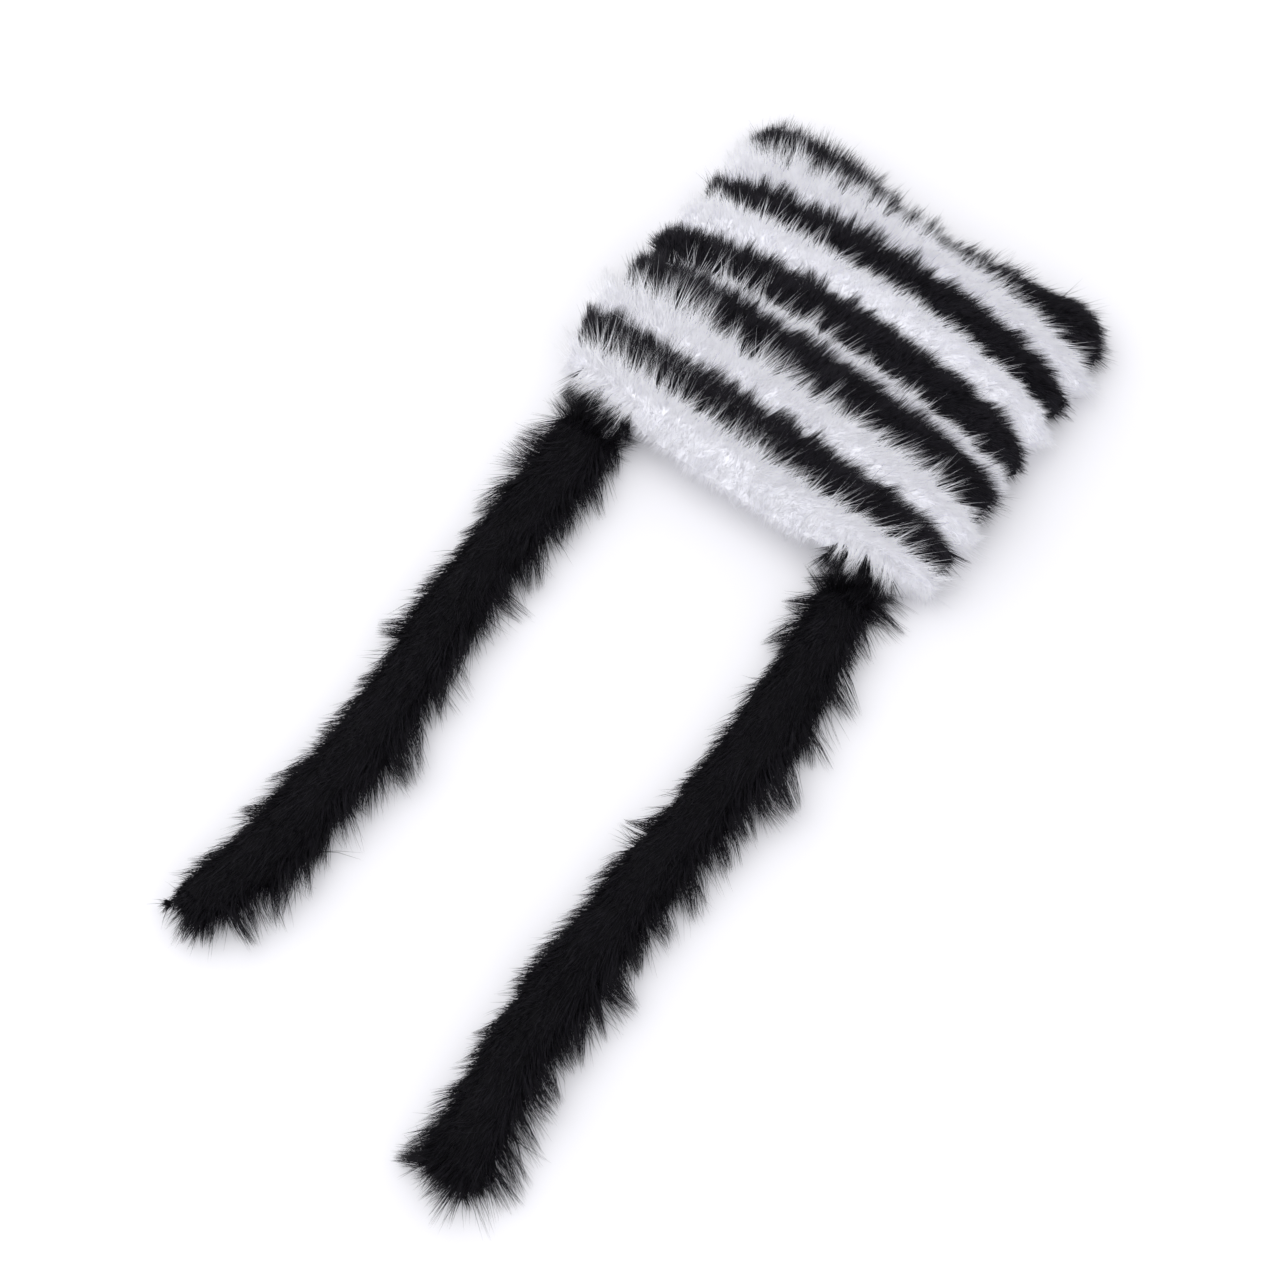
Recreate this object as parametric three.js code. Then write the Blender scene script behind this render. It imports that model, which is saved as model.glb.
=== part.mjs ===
// A fluffy knitted beanie with black and white stripes, two cat ears at its crown corners and two long fur
// ties at its brim, lying on a flat surface. Millimetres, +Z up, +Y from the brim to the crown.
// The hat is a flattened tube, open at the brim and sewn shut at the crown. Each stripe is a run of its own
// yarn: one ring of the knitted wall, with the deep nap drawn out of it in leaning locks. Each tie is a fur
// strip: a backing that lies flat on the surface, with longer locks that lean away from the hat.
import * as THREE from "three";

// The hat
const HAT_LENGTH = 204; // brim edge to crown seam, along the middle
const BRIM_HALF_WIDTH = 122;
const CROWN_HALF_WIDTH = 119;
const HAT_RISE = 40; // the flattened hat's height over the surface where it is fullest, without the nap
const SIDE_LEVEL = 0.4; // height of the side folds, as a share of the rise there
const CROWN_LEAN = 5; // how far the crown sits to the right of the brim
const EAR_RISE = 15; // how far the ears stand past the seam's middle
const WALL = 6; // knit with the packed roots of its nap
const UNDER_WALL = 6.5; // the same wall under the hat, where the nap is pressed into it
const SIDE_WALL = 9; // doubled where the tube folds
const PRESSED = 0.6; // depth to which the piece's own weight presses its underside flat
const BRIM_ROLL = 4; // how far the brim's nap hangs over its edge
const BRIM_LOCK = 1.8; // how much further every other lock of it hangs
const HANGS_FROM = 0.6; // how high on the cut across the hat it hangs in full
const BRIM_TUCK = 6; // how far the under side's edge lies back from the visible one
const TUCK = { from: -0.1, full: -0.9 }; // the heights on the cut between which it goes back
const STRIPE_GAP = 0.3; // between neighbouring stripes
const TOP_FULLNESS = 2.5; // exponents of the rounded outline of the cut across the hat
const UNDER_FULLNESS = 5;
const POCKET_DEPTH = 0.4; // how deep the hollow runs into the crown stripe, as a share of it
const CROWN_SHOULDER = 0.86; // where the crown stripe rounds over to its sewn edge, as a share of it

// The nap of the hat
const NAP = 4.2; // height of each stripe's soft ridge over the wall
const LOCK_RISE = 3.0; // how much a lock's tip stands over the ridge
const LOCK_REACH = 6.5; // how far a lock's tip leans
const LOCK_UNEVEN = 0.35; // how much locks differ, as a share of their size
const LOCKS_FROM = -0.2; // how low on the cut across a piece locks are drawn out
const NAP_PRESSED = { gone: -0.75, full: -0.1 }; // how far down the wall must face for the nap to be pressed
const BRUSHED = { left: -15, right: 70 }; // degrees from straight towards the crown to the right
const BRUSHED_ACROSS = 0.6; // how much of a lock's sideways lean the wall's curve leaves
const EDGE_FILL = 0.15; // how far the crown's edge is filled out between locks, as a share of a lock

// The fur ties
const LEFT_TIE_LENGTH = 373;
const RIGHT_TIE_LENGTH = 409;
const TIE_WIDTH = 36; // packed fur on its backing, without the lock tips
const TIE_RISE = 22;
const TIE_LOCK_RISE = 5;
const TIE_LOCK_REACH = 9;
const TIE_LOCK_UP = 0.8; // how much of a lock's rise stands over the tie
const TIE_LOCK_ROWS = 1.7; // the most rows that a lock reaches over
const TIE_GAP = 0.3; // between a tie's sewn end and the brim
const TIE_SEWN_END = 0.05; // the share of a tie over which its locks grow to their full size
const TIE_FULLNESS = 2.2;

// Facets
const TOP_COLUMNS = 34; // round the visible side of the hat
const UNDER_COLUMNS = 12;
const TIE_TOP_COLUMNS = 9;
const TIE_UNDER_COLUMNS = 3;
const TIE_ROWS = 50;

// The brim's edge: how far along the hat it lies at the left fold, on the middle line and at the right fold,
// as shares of HAT_LENGTH.
const BRIM_EDGE = { left: 0.06, middle: 0, right: 0.045 };

// Stripes from brim to crown. left, middle and right: where each ends, in the brim's terms.
// puff: its ridge, as a share of NAP.
const STRIPES = [
  { name: "brim_white", yarn: "white", left: 0.118, middle: 0.098, right: 0.105, puff: 1.0 },
  { name: "stripe_2_black", yarn: "black", left: 0.222, middle: 0.198, right: 0.197, puff: 0.85 },
  { name: "stripe_3_white", yarn: "white", left: 0.33, middle: 0.318, right: 0.298, puff: 1.1 },
  { name: "stripe_4_black", yarn: "black", left: 0.468, middle: 0.446, right: 0.422, puff: 0.95 },
  { name: "stripe_5_white", yarn: "white", left: 0.488, middle: 0.495, right: 0.465, puff: 0.45 },
  { name: "stripe_6_black", yarn: "black", left: 0.578, middle: 0.622, right: 0.575, puff: 1.0 },
  { name: "stripe_7_white", yarn: "white", left: 0.718, middle: 0.744, right: 0.692, puff: 1.1 },
  { name: "stripe_8_black", yarn: "black", left: 0.797, middle: 0.848, right: 0.79, puff: 0.9 },
  { name: "stripe_9_white", yarn: "white", left: 0.918, middle: 0.955, right: 0.895, puff: 1.0 },
];
const CROWN_STRIPE = { name: "crown_ears_black", yarn: "black", puff: 0.8 };

// The crown's sewn edge from the left fold to the right one. across: share of the half width.
// rise: how far the edge stands past the seam's middle, as a share of EAR_RISE.
const CROWN_EDGE = [
  { across: -1, rise: 0.85 },
  { across: -0.94, rise: 1.05 },
  { across: -0.78, rise: 1.1 },
  { across: -0.58, rise: 1.02 },
  { across: -0.34, rise: 0.5 },
  { across: -0.12, rise: 0.05 },
  { across: 0.12, rise: 0.0 },
  { across: 0.36, rise: 0.32 },
  { across: 0.6, rise: 0.75 },
  { across: 0.8, rise: 1.12 },
  { across: 0.93, rise: 0.65 },
  { across: 1, rise: -0.3 },
];

// The cut across the hat, from brim to crown. along: share of HAT_LENGTH. rise: share of HAT_RISE.
// left, right: shares of the straight run from BRIM_HALF_WIDTH to CROWN_HALF_WIDTH.
const CUTS = [
  { along: 0, rise: 0.62, left: 0.93, right: 0.97 },
  { along: 0.06, rise: 0.8, left: 0.99, right: 0.98 },
  { along: 0.14, rise: 0.93, left: 1.04, right: 0.99 },
  { along: 0.24, rise: 0.98, left: 1.06, right: 0.99 },
  { along: 0.38, rise: 1, left: 1.03, right: 0.98 },
  { along: 0.5, rise: 0.98, left: 1.05, right: 0.98 },
  { along: 0.66, rise: 0.96, left: 1.02, right: 0.98 },
  { along: 0.84, rise: 0.8, left: 1.02, right: 0.98 },
  { along: 0.93, rise: 0.62, left: 1.03, right: 0.98 },
  { along: 1, rise: 0.47, left: 1.05, right: 0.99 },
  { along: 1.08, rise: 0.38, left: 1.05, right: 0.97 },
];

// A stripe's ridge from its brim side to its crown side. along: share of its width.
// proud: share of its puff. lock: how strongly lock tips are drawn out of that row.
const RIDGE = [
  { along: 0, proud: 0.1, lock: 0 },
  { along: 0.26, proud: 0.85, lock: 0.75 },
  { along: 0.64, proud: 1, lock: 1 },
  { along: 1, proud: 0.1, lock: 0 },
];

// The ties. root: middle of the sewn end, as a share of BRIM_HALF_WIDTH. In each course, along is a share of
// the length, sway a sideways shift as a share of TIE_WIDTH, and width and rise shares of the tie's own.
const TIES = [
  {
    name: "tie_left",
    root: -0.75,
    length: LEFT_TIE_LENGTH,
    course: [
      { along: 0, sway: 0, width: 0.92, rise: 0.27 },
      { along: 0.03, sway: 0, width: 0.98, rise: 0.55 },
      { along: 0.07, sway: 0.01, width: 1.0, rise: 0.85 },
      { along: 0.15, sway: 0.05, width: 1.04, rise: 1 },
      { along: 0.24, sway: 0.02, width: 0.96, rise: 1 },
      { along: 0.35, sway: 0.04, width: 0.98, rise: 1.04 },
      { along: 0.44, sway: 0.07, width: 1.03, rise: 0.98 },
      { along: 0.54, sway: 0.2, width: 0.96, rise: 0.95 },
      { along: 0.62, sway: 0.25, width: 1.03, rise: 1.05 },
      { along: 0.7, sway: 0.235, width: 1.02, rise: 1 },
      { along: 0.79, sway: 0.195, width: 1.08, rise: 1.03 },
      { along: 0.87, sway: 0.09, width: 1.02, rise: 0.98 },
      { along: 0.935, sway: -0.12, width: 0.96, rise: 0.9 },
      { along: 0.975, sway: -0.25, width: 0.8, rise: 0.74 },
      { along: 1, sway: -0.36, width: 0.56, rise: 0.5 },
    ],
  },
  {
    name: "tie_right",
    root: 0.715,
    length: RIGHT_TIE_LENGTH,
    course: [
      { along: 0, sway: 0, width: 0.84, rise: 0.27 },
      { along: 0.03, sway: 0.02, width: 0.86, rise: 0.55 },
      { along: 0.07, sway: 0.06, width: 0.9, rise: 0.85 },
      { along: 0.14, sway: 0.17, width: 1.0, rise: 1 },
      { along: 0.21, sway: 0.24, width: 1.04, rise: 1.02 },
      { along: 0.28, sway: 0.3, width: 1.1, rise: 1.06 },
      { along: 0.36, sway: 0.24, width: 1.0, rise: 1 },
      { along: 0.44, sway: 0.19, width: 0.96, rise: 0.96 },
      { along: 0.52, sway: 0.12, width: 1.02, rise: 1 },
      { along: 0.6, sway: 0.1, width: 0.98, rise: 1.02 },
      { along: 0.7, sway: 0.06, width: 1.1, rise: 1.04 },
      { along: 0.79, sway: 0.065, width: 1.0, rise: 1 },
      { along: 0.87, sway: 0.16, width: 1.0, rise: 0.98 },
      { along: 0.94, sway: 0.3, width: 1.06, rise: 0.9 },
      { along: 0.975, sway: 0.33, width: 1.02, rise: 0.76 },
      { along: 1, sway: 0.3, width: 0.86, rise: 0.55 },
    ],
  },
];

const YARN = {
  white: new THREE.MeshStandardMaterial({ color: 0xeeeef2, roughness: 0.95, metalness: 0 }),
  black: new THREE.MeshStandardMaterial({ color: 0x17161a, roughness: 0.95, metalness: 0 }),
};
const TIE_FUR = new THREE.MeshStandardMaterial({ color: 0x0e0d10, roughness: 0.85, metalness: 0 });

// The same number from -1 to 1 for the same place in the nap, each time.
function unevenness(a, b, c) {
  const wave = Math.sin(a * 127.1 + b * 311.7 + c * 74.7) * 43758.5453;
  return 2 * (wave - Math.floor(wave)) - 1;
}

// Reads a column of a table of rows at a share between them, along one smooth curve.
function follow(table, key, column, share) {
  const last = table.length - 1;
  let row = 0;
  while (row < last - 1 && share > table[row + 1][key]) row += 1;
  const slope = (i) => {
    const before = table[Math.max(i - 1, 0)];
    const after = table[Math.min(i + 1, last)];
    return (after[column] - before[column]) / (after[key] - before[key]);
  };
  const step = table[row + 1][key] - table[row][key];
  const s = THREE.MathUtils.clamp((share - table[row][key]) / step, 0, 1);
  const ends = [table[row][column], table[row + 1][column]];
  const slopes = [slope(row) * step, slope(row + 1) * step];
  const rest = 1 - s;
  return (
    ends[0] * rest * rest * (1 + 2 * s) + ends[1] * s * s * (3 - 2 * s) + slopes[0] * s * rest * rest -
    slopes[1] * s * s * rest
  );
}

// One point of a rounded outline of half width 1, which is full above its widest level and flat below it.
function outline(angle, fullness) {
  const power = 2 / (Math.sin(angle) >= 0 ? fullness : UNDER_FULLNESS);
  return {
    across: Math.sign(Math.cos(angle)) * Math.abs(Math.cos(angle)) ** power,
    up: Math.sign(Math.sin(angle)) * Math.abs(Math.sin(angle)) ** power,
  };
}

// Angles that split the upper and the under half of an outline into evenly long steps.
function evenAngles(halfWidth, rise, fullness, topSteps, underSteps) {
  const SAMPLES = 400;
  const angles = [];
  [topSteps, underSteps].forEach((steps, half) => {
    const run = [0];
    const at = (i) => outline(Math.PI * (half + i / SAMPLES), fullness);
    for (let i = 1; i <= SAMPLES; i += 1) {
      const [a, b] = [at(i - 1), at(i)];
      run.push(run[i - 1] + Math.hypot((b.across - a.across) * halfWidth, (b.up - a.up) * rise));
    }
    for (let k = 0; k < steps; k += 1) {
      const i = run.findIndex((length) => length >= (run[SAMPLES] * k) / steps);
      angles.push(Math.PI * (half + i / SAMPLES));
    }
  });
  return angles;
}

// Collects points and the faces between them, and gives the closed body back.
class Surface {
  constructor() {
    this.points = [];
    this.faces = [];
  }

  row(points) {
    return points.map((p) => this.points.push(p) - 1);
  }

  // A strip between two chains of points of the same number, each four split from a to b's next point, or
  // the other way when crossed.
  band(a, b, { closed = true, crossed = false } = {}) {
    const steps = closed ? a.length : a.length - 1;
    for (let i = 0; i < steps; i += 1) {
      const j = (i + 1) % a.length;
      if (crossed) this.faces.push([a[i], a[j], b[i]], [a[j], b[j], b[i]]);
      else this.faces.push([a[i], a[j], b[j]], [a[i], b[j], b[i]]);
    }
  }

  // A strip between two open chains that share their first and last points' places but not their number.
  zip(a, b) {
    let [i, j] = [0, 0];
    while (i < a.length - 1 || j < b.length - 1) {
      if ((i + 1) * (b.length - 1) <= (j + 1) * (a.length - 1)) {
        this.faces.push([a[i], a[i + 1], b[j]]);
        i += 1;
      } else {
        this.faces.push([a[i], b[j + 1], b[j]]);
        j += 1;
      }
    }
  }

  mesh(name, material) {
    const kept = this.faces.filter(([a, b, c]) => a !== b && b !== c && c !== a);
    const geometry = new THREE.BufferGeometry();
    geometry.setAttribute("position", new THREE.Float32BufferAttribute(this.points.flat(), 3));
    geometry.setIndex(kept.flat());
    geometry.computeVertexNormals();
    const made = new THREE.Mesh(geometry, material);
    made.name = name;
    return made;
  }
}

// The hat's columns: where each runs round the flattened tube.
const COLUMNS = evenAngles(BRIM_HALF_WIDTH, HAT_RISE / 2, TOP_FULLNESS, TOP_COLUMNS, UNDER_COLUMNS).map(
  (angle, index) => ({ index, ...outline(angle, TOP_FULLNESS) }),
);

// The outer wall's cut across the hat at a distance from the brim.
function cutAt(y) {
  const along = y / HAT_LENGTH;
  const straight = THREE.MathUtils.lerp(BRIM_HALF_WIDTH, CROWN_HALF_WIDTH, along);
  const rise = HAT_RISE * follow(CUTS, "along", "rise", along);
  return {
    middle: CROWN_LEAN * along,
    left: straight * follow(CUTS, "along", "left", along),
    right: straight * follow(CUTS, "along", "right", along),
    rise,
    side: rise * SIDE_LEVEL,
  };
}

// How far sideways a column lies in a cut whose side folds stand in by inset.
function sideways(cut, column, inset = 0) {
  return cut.middle + ((column.across < 0 ? cut.left : cut.right) - inset) * column.across;
}

// How far from the brim a line round the hat lies: it bows from the middle line to each side fold.
function lineAt(line, across) {
  return HAT_LENGTH * THREE.MathUtils.lerp(line.middle, across < 0 ? line.left : line.right, across ** 2);
}

function crownEdge(column) {
  return HAT_LENGTH + EAR_RISE * follow(CROWN_EDGE, "across", "rise", column.across);
}

// A point of the outer wall: proud is its height over the wall, and lean moves it along the surface.
function outerPoint(column, y, proud, lean = { right: 0, forward: 0 }) {
  const cut = cutAt(y);
  const above = column.up >= 0;
  const reach = above ? cut.rise - cut.side : cut.side;
  const fullness = above ? TOP_FULLNESS : UNDER_FULLNESS;
  const out = new THREE.Vector2(
    (Math.sign(column.across) * Math.abs(column.across) ** (fullness - 1)) / cut.right,
    (Math.sign(column.up) * Math.abs(column.up) ** (fullness - 1)) / reach,
  ).normalize();
  const open = proud * THREE.MathUtils.smoothstep(out.y, NAP_PRESSED.gone, NAP_PRESSED.full);
  const z = cut.side + reach * column.up - PRESSED + open * out.y;
  return [sideways(cut, column) + open * out.x + lean.right, y + lean.forward, Math.max(0, z)];
}

// A point of the inner wall, the same way round.
function innerPoint(column, y) {
  const cut = cutAt(y);
  const side = Math.max(cut.side, UNDER_WALL + 1);
  const top = Math.max(cut.rise - PRESSED - WALL, side + 1);
  const reach = column.up >= 0 ? top - side : side - UNDER_WALL;
  return [sideways(cut, column, SIDE_WALL), y, side + reach * column.up];
}

// The nap is brushed towards the crown on the left of the hat, and across it towards the right.
function brushed(across, reach) {
  const turn = THREE.MathUtils.degToRad(THREE.MathUtils.lerp(BRUSHED.left, BRUSHED.right, (across + 1) / 2));
  return { right: reach * Math.sin(turn) * BRUSHED_ACROSS, forward: reach * Math.cos(turn) };
}

// One row of a stripe's ridge, with every other column drawn out into a lock.
function ridgeRow(number, row, puff, yOf) {
  return COLUMNS.map((column) => {
    const y = yOf(column, row.along);
    const locked = (column.index + number + RIDGE.indexOf(row)) % 2 === 0 && column.up > LOCKS_FROM;
    const drawn = locked ? row.lock : 0;
    const size = drawn * Math.min(1, puff) * (1 + LOCK_UNEVEN * unevenness(number, column.index, row.along));
    const lean = brushed(column.across, LOCK_REACH * size);
    return outerPoint(column, y, NAP * puff * row.proud + LOCK_RISE * size, lean);
  });
}

// The brim's edge: on the under side it lies back.
function brimEdge(column) {
  const under = THREE.MathUtils.smoothstep(-column.up, -TUCK.from, -TUCK.full);
  return lineAt(BRIM_EDGE, column.across) + BRIM_TUCK * under;
}

// The brim's nap rolls over its edge, half way between the outer and the inner wall.
function brimRoll(outer, inner) {
  return COLUMNS.map((column, i) => {
    const hanging = THREE.MathUtils.smoothstep(column.up, 0, HANGS_FROM) * (column.index % 2 ? 1 : BRIM_LOCK);
    const [x, y, z] = outer[i].map((value, axis) => (value + inner[i][axis]) / 2);
    return [x, y - BRIM_ROLL * hanging, z];
  });
}

function stripeRing(number) {
  const stripe = STRIPES[number];
  const from = (column) =>
    number ? lineAt(STRIPES[number - 1], column.across) + STRIPE_GAP : brimEdge(column);
  const yOf = (column, share) => THREE.MathUtils.lerp(from(column), lineAt(stripe, column.across), share);
  const surface = new Surface();
  const outer = RIDGE.map((row) => ridgeRow(number, row, stripe.puff, yOf));
  const inner = [1, 0].map((share) => COLUMNS.map((c) => innerPoint(c, yOf(c, share))));
  const start = number ? [] : [brimRoll(outer[0], inner[1])];
  const loops = [...outer, ...inner, ...start].map((loop) => surface.row(loop));
  loops.forEach((loop, i) => {
    const next = loops[(i + 1) % loops.length];
    surface.band(next, loop, { crossed: i === outer.length - 1 });
  });
  return surface.mesh(stripe.name, YARN[stripe.yarn]);
}

// The last stripe: a ring at its start, sewn shut along the crown's edge, with the ears at its corners.
function crownCap() {
  const number = STRIPES.length;
  const from = (column) => lineAt(STRIPES[number - 1], column.across) + STRIPE_GAP;
  const yOf = (column, share) => THREE.MathUtils.lerp(from(column), crownEdge(column), share);
  const surface = new Surface();
  const outer = RIDGE.map((row) =>
    surface.row(ridgeRow(number, row, CROWN_STRIPE.puff, (c, share) => yOf(c, share * CROWN_SHOULDER))),
  );
  const [mouth, pocket] = [0, POCKET_DEPTH].map((share) =>
    surface.row(COLUMNS.map((c) => innerPoint(c, yOf(c, share)))),
  );
  const loops = [pocket, mouth, ...outer];
  loops.slice(1).forEach((loop, i) => surface.band(loop, loops[i]));
  const top = (loop) => loop.slice(0, TOP_COLUMNS + 1);
  const under = (loop) => [loop[0], ...loop.slice(TOP_COLUMNS).reverse()];
  const lip = outer[outer.length - 1];
  const edge = top(lip).map((start, i, chain) => {
    if (i === 0 || i === chain.length - 1) return start;
    const size = i % 2 ? 1 + LOCK_UNEVEN * unevenness(number, i, RIDGE.length) : EDGE_FILL;
    const cut = cutAt(crownEdge(COLUMNS[i]));
    const y = crownEdge(COLUMNS[i]) + LOCK_RISE * size;
    return surface.row([[sideways(cut, COLUMNS[i]), y, cut.rise / 2]])[0];
  });
  surface.band(edge, top(lip), { closed: false });
  surface.zip(under(lip), edge);
  surface.zip(top(pocket), under(pocket));
  return surface.mesh(CROWN_STRIPE.name, YARN[CROWN_STRIPE.yarn]);
}

// A tie: rings along its course, each flat where it lies, with every other point drawn out into a lock.
function furTie(tie, number) {
  const columns = evenAngles(TIE_WIDTH / 2, TIE_RISE / 2, TIE_FULLNESS, TIE_TOP_COLUMNS, TIE_UNDER_COLUMNS);
  const step = tie.length / TIE_ROWS;
  const surface = new Surface();
  const ring = (index) => {
    const along = index / TIE_ROWS;
    const read = (column) => follow(tie.course, "along", column, along);
    const middle = tie.root * BRIM_HALF_WIDTH + read("sway") * TIE_WIDTH;
    const [halfWidth, rise] = [(read("width") * TIE_WIDTH) / 2, read("rise") * TIE_RISE];
    const side = rise * SIDE_LEVEL;
    const grown = THREE.MathUtils.smoothstep(along, 0, TIE_SEWN_END);
    return columns.map((angle, i) => {
      const { across, up } = outline(angle, TIE_FULLNESS);
      const drawn = (i + index) % 2 === 0 && up > LOCKS_FROM ? grown : 0;
      const size = drawn * (1 + LOCK_UNEVEN * unevenness(-1 - number, i, index));
      const out = TIE_LOCK_RISE * size;
      const x = middle + (halfWidth + out) * across;
      const z = side + (up >= 0 ? rise - side : side) * up + out * TIE_LOCK_UP * Math.max(0, up) - PRESSED;
      const reach = Math.min(TIE_LOCK_REACH, TIE_LOCK_ROWS * step) * size;
      const sewn = (lineAt(BRIM_EDGE, x / BRIM_HALF_WIDTH) + BRIM_TUCK) * (1 - along);
      return [x, sewn - TIE_GAP - along * tie.length - reach, Math.max(0, z)];
    });
  };
  const rings = Array.from({ length: TIE_ROWS + 1 }, (_, index) => ring(index));
  const loops = rings.map((points) => surface.row(points));
  loops.slice(1).forEach((loop, i) => surface.band(loops[i], loop));
  [0, TIE_ROWS].forEach((end) => {
    const average = [0, 1, 2].map((axis) => rings[end].reduce((sum, p) => sum + p[axis] / columns.length, 0));
    const [hub] = surface.row([average]);
    loops[end].forEach((p, i) => {
      const next = loops[end][(i + 1) % columns.length];
      surface.faces.push(end ? [p, next, hub] : [next, p, hub]);
    });
  });
  return surface.mesh(tie.name, TIE_FUR);
}

const hat = new THREE.Group();
STRIPES.forEach((_, number) => hat.add(stripeRing(number)));
hat.add(crownCap());
TIES.forEach((tie, number) => hat.add(furTie(tie, number)));

// The origin is on the surface, under the middle of the whole piece.
const reach = new THREE.Box3().setFromObject(hat);
const middle = reach.getCenter(new THREE.Vector3());
hat.position.set(-middle.x, -middle.y, -reach.min.z);
const beanie = new THREE.Group();
beanie.add(hat);

export default beanie;
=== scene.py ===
# The cat ear beanie, dressed: each striped run of yarn and each fur tie gets a soft body with its nap of
# single hairs. Metres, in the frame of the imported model: +Y from the ties' ends to the crown, +Z up.
import math

import bpy
import bmesh
import numpy as np
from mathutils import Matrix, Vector
from mathutils.kdtree import KDTree


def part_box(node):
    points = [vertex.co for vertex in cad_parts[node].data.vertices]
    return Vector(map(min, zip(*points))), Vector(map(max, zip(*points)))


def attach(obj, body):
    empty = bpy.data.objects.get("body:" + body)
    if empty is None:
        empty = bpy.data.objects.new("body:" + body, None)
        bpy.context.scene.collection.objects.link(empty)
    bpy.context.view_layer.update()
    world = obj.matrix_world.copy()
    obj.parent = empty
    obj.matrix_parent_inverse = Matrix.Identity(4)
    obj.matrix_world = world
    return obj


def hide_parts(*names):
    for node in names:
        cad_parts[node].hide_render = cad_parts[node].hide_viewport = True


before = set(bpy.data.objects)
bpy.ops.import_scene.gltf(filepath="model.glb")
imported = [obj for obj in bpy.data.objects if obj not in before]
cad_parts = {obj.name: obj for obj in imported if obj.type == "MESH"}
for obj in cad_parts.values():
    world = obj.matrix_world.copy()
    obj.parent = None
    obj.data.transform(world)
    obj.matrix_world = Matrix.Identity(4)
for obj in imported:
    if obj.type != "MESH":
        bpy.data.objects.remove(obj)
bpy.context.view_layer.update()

MM = 0.001
SEED = 7

# Soft bodies, which the hairs grow from
BODY_VOXEL = 3.2 * MM
BODY_SMOOTHING = 14
BODY_SOFTNESS = 0.5  # how much each pass of that smoothing does
TIE_INSET = 4.5 * MM  # how far a tie's packed fur lies under its outer form, which the hair fills
WELD = 0.002 * MM
UNDERSIDE_LEVEL = 1.3 * MM  # hairs pressed flat fill the space below it
SURFACE_CLEARANCE = 0.15 * MM  # the lowest that a hair lies over the surface under it
SURFACE_LAYER = 0.8 * MM  # how thick the layer of hairs lying on that surface is
RESTING_BAND = 0.5 * MM  # what lies no higher than this over the underside rests on the surface
STRIPE_SLICES = 60  # how many slices a stripe is measured in, from fold to fold
TIE_SLICES = 40  # the same for a tie, from its end to the hat

# The hat's place in the frame, measured from its brim piece
HAT_MIDDLE = 0.5 * (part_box("brim_white")[0].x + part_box("brim_white")[1].x)
HAT_HALF_WIDTH = 122 * MM
HAT_LENGTH = 210 * MM
BRIM_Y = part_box("brim_white")[0].y
HOLLOW_LEVEL = 0.36  # height of the hollow's middle, as a share of the stripe's height
HOLLOW_INSET = 25 * MM  # from a side fold to the end of the hollow's middle line

# How the nap is brushed, from the left fold to the right one. turn: degrees from +X towards +Y.
COMB = [
    {"across": -1.00, "turn": 122},
    {"across": -0.75, "turn": 112},
    {"across": -0.45, "turn": 88},
    {"across": 0.00, "turn": 70},
    {"across": 0.40, "turn": 55},
    {"across": 0.75, "turn": 32},
    {"across": 1.00, "turn": 2},
]
# How much further the nap turns to the right near the crown, on the right half. turn: degrees.
# rate, offset: how soon it begins on the way up the hat. across: how soon it begins right of the middle.
CROWN_TURN = {"turn": -18, "rate": 2, "offset": 0.7, "across": 2}

# Waves in the brushing. turn: degrees. along_x, along_y: metres to a full wave. start: share of a wave.
SWIRLS = [
    {"turn": 9, "along_x": 0.058, "along_y": 0.091, "start": 0.2},
    {"turn": 7, "along_x": 0.031, "along_y": -0.047, "start": 0.65},
    {"turn": 6, "along_x": -0.019, "along_y": 0.024, "start": 0.4},
]

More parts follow.
